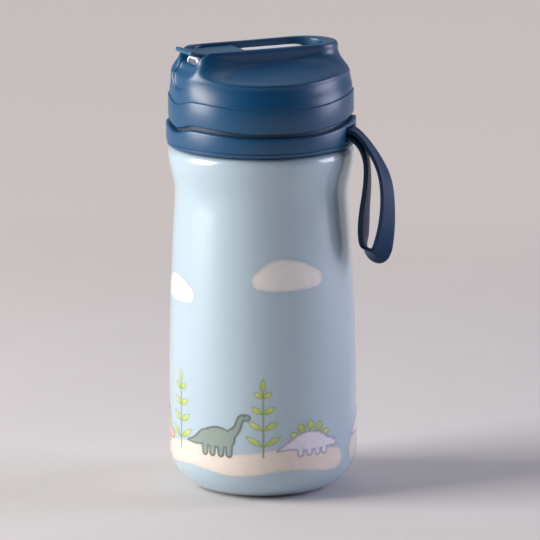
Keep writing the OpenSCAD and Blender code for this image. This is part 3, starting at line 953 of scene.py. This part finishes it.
def mound(art, start, end):
    """A low rolling bank from one place to another, with rounded ends."""
    bank = [(u, 16.5 + 1.2 * math.sin(u / 7), 4.6) for u in np.linspace(start + 4.6, end - 4.6, 16)]
    art.wash(art.limb(bank, 3), MOUND_SAND, MOUND_RIM, 1.4, grain=0.06)


def round_toy(art, parts, legs, eye, u, z, tones, scale, flip):
    """A plain rounded animal from rows of discs, on stub legs, with one dot for an eye."""
    body, rim = tones
    rows = list(parts) + [[(x, 8, 2.6), (x, 2.6, 2.4)] for x in legs]
    shape = either(*(art.limb(moved(row, u, z, scale, flip)) for row in rows))
    art.wash(shape, body, rim, 1.2, grain=0.08)
    (eye_u, eye_z), = moved([eye], u, z, scale, flip)
    art.stroke([(eye_u, eye_z, 0.3), (eye_u, eye_z + 0.05, 0.3)], EYE_DARK, 0.9)


def toy_sauropod(art, u, z, tones, scale=0.62, flip=False):
    """A toy-like long-necked dinosaur, looking straight ahead."""
    parts = ([(-9, 12, 5), (-16, 9, 2.6), (-23, 8, 0.8)], [(-7, 12, 5.6), (1, 13, 7), (8, 12, 5.4)],
             [(8, 13, 4.4), (14, 19, 2.8), (17, 26, 2.4), (21, 26.4, 2.2)])
    round_toy(art, parts, (-8, -2.5, 3.5, 9), (19, 27.4), u, z, tones, scale, flip)


def toy_plated(art, u, z, tones, scale=0.62, flip=False):
    """A toy-like dinosaur with a row of pointed plates on an arched back."""
    for k in range(5):
        a = math.radians(150 - 30 * k)
        ends = [(c * math.cos(a), 8 + c * math.sin(a)) for c in (9, 15.5)]
        leaf(art, *moved(ends, u, z, scale, flip), 1.5)
    parts = ([(-22, 5, 0.8), (-14, 8, 3), (-5, 10, 6), (4, 10, 6), (12, 8, 3.6), (18, 7, 2.8)],)
    round_toy(art, parts, (-7, -1, 5, 10), (18.5, 8), u, z, tones, scale, flip)


def lay_print(name, art):
    """Turns the painted part of a strip into a skin just proud of the shell."""
    columns = art.alpha.shape[1]
    inked = art.alpha > 0.02
    cells = inked[:-1, :-1] | inked[1:, :-1] | inked[:-1, 1:] | inked[1:, 1:]
    j, i = np.nonzero(cells)
    corners = np.stack([j * columns + i, j * columns + i + 1, (j + 1) * columns + i + 1,
            (j + 1) * columns + i], axis=1)
    used, faces = np.unique(corners, return_inverse=True)
    u, z = art.u.ravel()[used], art.z.ravel()[used]
    angle = PRINT_START + u / PRINT_R
    r = body_radius(z) + PRINT_LIFT
    mesh = bpy.data.meshes.new(name)
    mesh.from_pydata(np.stack([r * np.cos(angle), r * np.sin(angle), z], axis=1) * MM, [],
            faces.reshape(-1, 4).tolist())
    smooth_shade(mesh)
    ink = mesh.color_attributes.new("ink", "FLOAT_COLOR", "POINT")
    rgba = np.concatenate([art.rgb.reshape(-1, 3)[used], art.alpha.ravel()[used][:, None]], axis=1)
    ink.data.foreach_set("color", np.clip(rgba, 0, 1).astype(np.float32).ravel())
    skin = new_object(name, mesh)
    dress(skin, "print")
    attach(skin, "bottle")


REPEAT = 2 * math.pi * PRINT_R / 6
MOUND_TOP_Z = 19.0


def paint_side(side, start, seed, animals):
    """Half of the way round: animals evenly spaced on a mound, sprigs between them, two clouds."""
    end = start + 3 * REPEAT
    art = Picture(start, end, 9, 60, seed)
    mound(art, start + 2.5, end - 2.5)
    for k in (1, 2):
        sprig(art, start + k * REPEAT, MOUND_TOP_Z, 26)
    for k, (animal, tones) in enumerate(animals):
        animal(art, start + (k + 0.5) * REPEAT, MOUND_TOP_Z - 1, tones)
    lay_print("print_" + side + "_ground", art)
    sky = Picture(start, end, 70, 103, seed + 7)
    cloud(sky, start + 0.9 * REPEAT, 80, 1.0)
    cloud(sky, start + 2.3 * REPEAT, 88, 1.2)
    lay_print("print_" + side + "_sky", sky)


# ---- Camera, lights and stage ----

def view_axes():
    """Unit vectors to the right of the view, away along the floor, and towards the camera."""
    a, e = math.radians(VIEW_AZIMUTH), math.radians(VIEW_ELEVATION)
    right = Vector((math.cos(a), math.sin(a), 0))
    away = Vector((-math.sin(a), math.cos(a), 0))
    back = Vector((math.sin(a) * math.cos(e), -math.cos(a) * math.cos(e), math.sin(e)))
    return right, away, back


def build_camera():
    distance = 2.0
    px_per_mm, image_px = 2.564, 540
    aim_right, aim_z, roll = 3.05, 85.0, 0.4
    right, _, back = view_axes()
    camera = bpy.data.cameras.new("camera")
    camera.sensor_width = 36
    camera.lens = px_per_mm * distance / MM * camera.sensor_width / image_px
    camera.clip_end = 20
    obj = new_object("camera", camera)
    aim = right * aim_right * MM + Vector((0, 0, aim_z * MM))
    obj.location = aim + back * distance
    turn = (-back).to_track_quat("-Z", "Y").to_matrix().to_4x4()
    obj.matrix_world = (Matrix.Translation(obj.location) @ turn
                        @ Matrix.Rotation(math.radians(-roll), 4, "Z"))
    bpy.context.scene.camera = obj


def area_light(name, place, size, power, colour):
    """A soft panel, placed in metres to the right, away and up, and turned to the bottle."""
    right, away, _ = view_axes()
    light = bpy.data.lights.new(name, "AREA")
    light.shape = "RECTANGLE"
    light.size, light.size_y = size
    light.energy = power
    light.color = colour
    obj = new_object(name, light)
    obj.location = right * place[0] + away * place[1] + Vector((0, 0, place[2]))
    aim = Vector((0, 0, 0.09)) - obj.location
    obj.rotation_euler = aim.to_track_quat("-Z", "Y").to_euler()


def build_world():
    """Soft surroundings: bright behind and beside the bottle, dim on the camera's side."""
    _, away, _ = view_axes()
    world = bpy.data.worlds.new("studio")
    world.use_nodes = True
    tree = world.node_tree
    direction = tree.nodes.new("ShaderNodeTexCoord").outputs["Generated"]
    along = add(tree, "ShaderNodeVectorMath", operation="DOT_PRODUCT")
    tree.links.new(direction, along.inputs[0])
    along.inputs[1].default_value = away
    strength = ramp(tree, along.outputs["Value"], 0.05, 0.33, -0.6, 0.3)
    background = tree.nodes["Background"]
    background.inputs["Color"].default_value = (0.90, 0.88, 0.92, 1)
    tree.links.new(strength, background.inputs["Strength"])
    bpy.context.scene.world = world


def build_lights():
    area_light("key_window", (-1.25, -0.22, 0.52), (0.8, 1.1), 32.0, (1.0, 0.945, 0.905))
    area_light("right_panel", (1.3, 0.10, 0.36), (0.7, 1.0), 13.0, (0.84, 0.80, 1.0))
    area_light("top_panel", (-0.1, 0.5, 1.6), (1.2, 0.9), 2.0, (1.0, 0.98, 0.98))
    build_world()
    bpy.context.scene.view_settings.view_transform = "Standard"


FLOOR, FLOOR_SHADE = (0.66, 0.645, 0.645), (0.675, 0.66, 0.66)
BACKDROP, BACKDROP_GLOW = (0.08, 0.075, 0.075), (0.525, 0.478, 0.468)


def build_stage():
    """A wide pale floor that turns, away from the bottle, into a softly lit warm grey backdrop."""
    half = 5.0 / MM
    corners = [(-half, -half, 0), (half, -half, 0), (half, half, 0), (-half, half, 0)]
    floor = mesh_object("stage_floor", corners, [(0, 1, 2, 3)])
    mat, tree, shader = material("stage_floor")
    grain = ramp(tree, noise(tree, 30.0, 4.0), 0, 1, 0.3, 0.7)
    distance = add(tree, "ShaderNodeVectorMath", operation="LENGTH")
    tree.links.new(object_coords(tree), distance.inputs[0])
    far = ramp(tree, distance.outputs["Value"], 0, 1, 0.30, 0.55)
    pale = blend_colours(tree, grain, FLOOR, FLOOR_SHADE)
    tree.links.new(blend_colours(tree, far, pale, BACKDROP), shader.inputs["Base Color"])
    shader.inputs["Roughness"].default_value = 0.8
    shader.inputs["Specular IOR Level"].default_value = 0.0
    shader.inputs["Emission Color"].default_value = (*BACKDROP_GLOW, 1)
    tree.links.new(far, shader.inputs["Emission Strength"])
    floor.data.materials.append(mat)


build_camera()
build_stage()
build_lights()
build_shell()
build_collar()
build_band()
build_dome()
build_lever()
build_spout()
build_strap()
paint_side("front", -2 * REPEAT, 11,
           [(toy_plated, TAN), (toy_sauropod, SAGE), (toy_plated, LILAC)])
paint_side("back", REPEAT, 37,
           [(toy_sauropod, LILAC), (toy_plated, SAGE), (toy_sauropod, TAN)])

CAD_LOOKS = {
    "inner_liner": "steel", "base_plate": "base", "vacuum_seal_plug": "base", "getter": "getter",
    "lid_gasket": "clear", "lid_core": "core", "hinge_pins": "steel", "spout_retainer": "core",
    "straw_adapter": "straw", "straw": "straw", "vent_valve": "clear", "strap_anchor_pin": "steel",
}
for node_name, look in CAD_LOOKS.items():
    dress(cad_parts[node_name], look)
